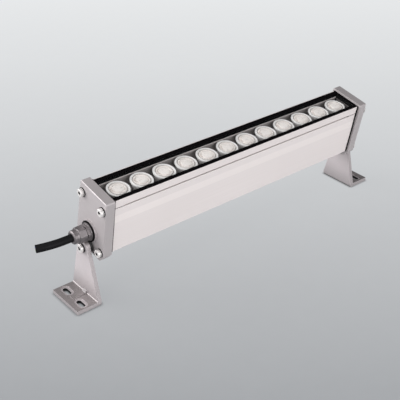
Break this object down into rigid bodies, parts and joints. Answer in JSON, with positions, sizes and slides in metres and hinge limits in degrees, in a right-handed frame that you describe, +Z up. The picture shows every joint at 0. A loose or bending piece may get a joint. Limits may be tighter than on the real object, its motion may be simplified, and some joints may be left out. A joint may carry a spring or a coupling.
{
  "type": "outdoor wall washer light",
  "caption": "Long aluminium wall washer with a row of round lenses under a window, thick end caps, a cable gland and two slotted feet that it tilts on.",
  "frame": {"origin": "middle of the whole light at the plane that its feet stand on", "axes": "+X along the light away from the cable gland, +Y across it away from its front, +Z up"},
  "size_m": [0.3973, 0.0496, 0.111],
  "materials": {
    "anodised_profile": "satin silver anodised, with a brighter band",
    "cast_cap": "matt silver, bead blasted",
    "foot_metal": "satin silver anodised",
    "black_rubber": "matt black silicone",
    "clear_window": "clear toughened glass",
    "lens_clear": "clear moulded acrylic",
    "lens_white": "white translucent plastic",
    "led_yellow": "phosphor",
    "board_dark": "dark grey board lacquer",
    "heat_pad": "soft grey pad",
    "bright_steel": "stainless steel",
    "dark_steel": "darkened spring steel",
    "gland_metal": "plated and slightly worn",
    "cable_sheath": "black cable sheath",
    "core_brown": "core insulation",
    "lead_red": "lead insulation",
    "board_green": "green board lacquer",
    "ferrite": "dark ferrite",
    "capacitor_blue": "shrink sleeve",
    "film_yellow": "moulded case",
    "choke_copper": "enamelled copper winding",
    "chip_black": "moulded chip",
    "terminal_green": "moulded terminal",
    "spacer_nylon": "dark nylon"
  },
  "bodies": {
    "head": {"housing_extrusion": "anodised_profile", "glass_seal": "black_rubber", "glass_cover": "clear_window", "lens_holders": "lens_white", "lenses": "lens_clear", "led_chips": "led_yellow", "led_board": "board_dark", "board_screws": "bright_steel", "thermal_pad": "heat_pad", "left_end_cap": "cast_cap", "right_end_cap": "cast_cap", "left_gasket": "black_rubber", "right_gasket": "black_rubber", "left_cap_screws": "bright_steel", "right_cap_screws": "bright_steel", "left_cap_washers": "bright_steel", "right_cap_washers": "bright_steel", "left_cap_seals": "black_rubber", "right_cap_seals": "black_rubber", "gland_seal_ring": "black_rubber", "gland_body": "gland_metal", "gland_insert": "black_rubber", "gland_dome_nut": "gland_metal", "mains_cable": "cable_sheath", "cable_tail": "cable_sheath", "input_leads": "core_brown", "driver_board": "board_green", "driver_transformer": "ferrite", "driver_capacitors": "capacitor_blue", "driver_film_capacitor": "film_yellow", "driver_choke": "choke_copper", "driver_chips": "chip_black", "input_terminal": "terminal_green", "output_terminal": "terminal_green", "output_leads": "lead_red", "left_pivot_screw": "bright_steel", "right_pivot_screw": "bright_steel", "left_pivot_washer": "dark_steel", "right_pivot_washer": "dark_steel", "left_spring_washer": "dark_steel", "right_spring_washer": "dark_steel", "left_pivot_spacer": "spacer_nylon", "right_pivot_spacer": "spacer_nylon"},
    "left_foot": {"left_bracket": "foot_metal"},
    "right_foot": {"right_bracket": "foot_metal"}
  },
  "joints": [
    {"name": "left_tilt", "type": "hinge", "parent": "head", "child": "left_foot", "pos_m": [-0.16445, 0.00478, 0.0507], "axis": [1, 0, 0], "range_deg": [-73, 95]},
    {"name": "right_tilt", "type": "hinge", "parent": "head", "child": "right_foot", "pos_m": [0.16445, 0.00478, 0.0507], "axis": [1, 0, 0], "range_deg": [-73, 95]}
  ]
}
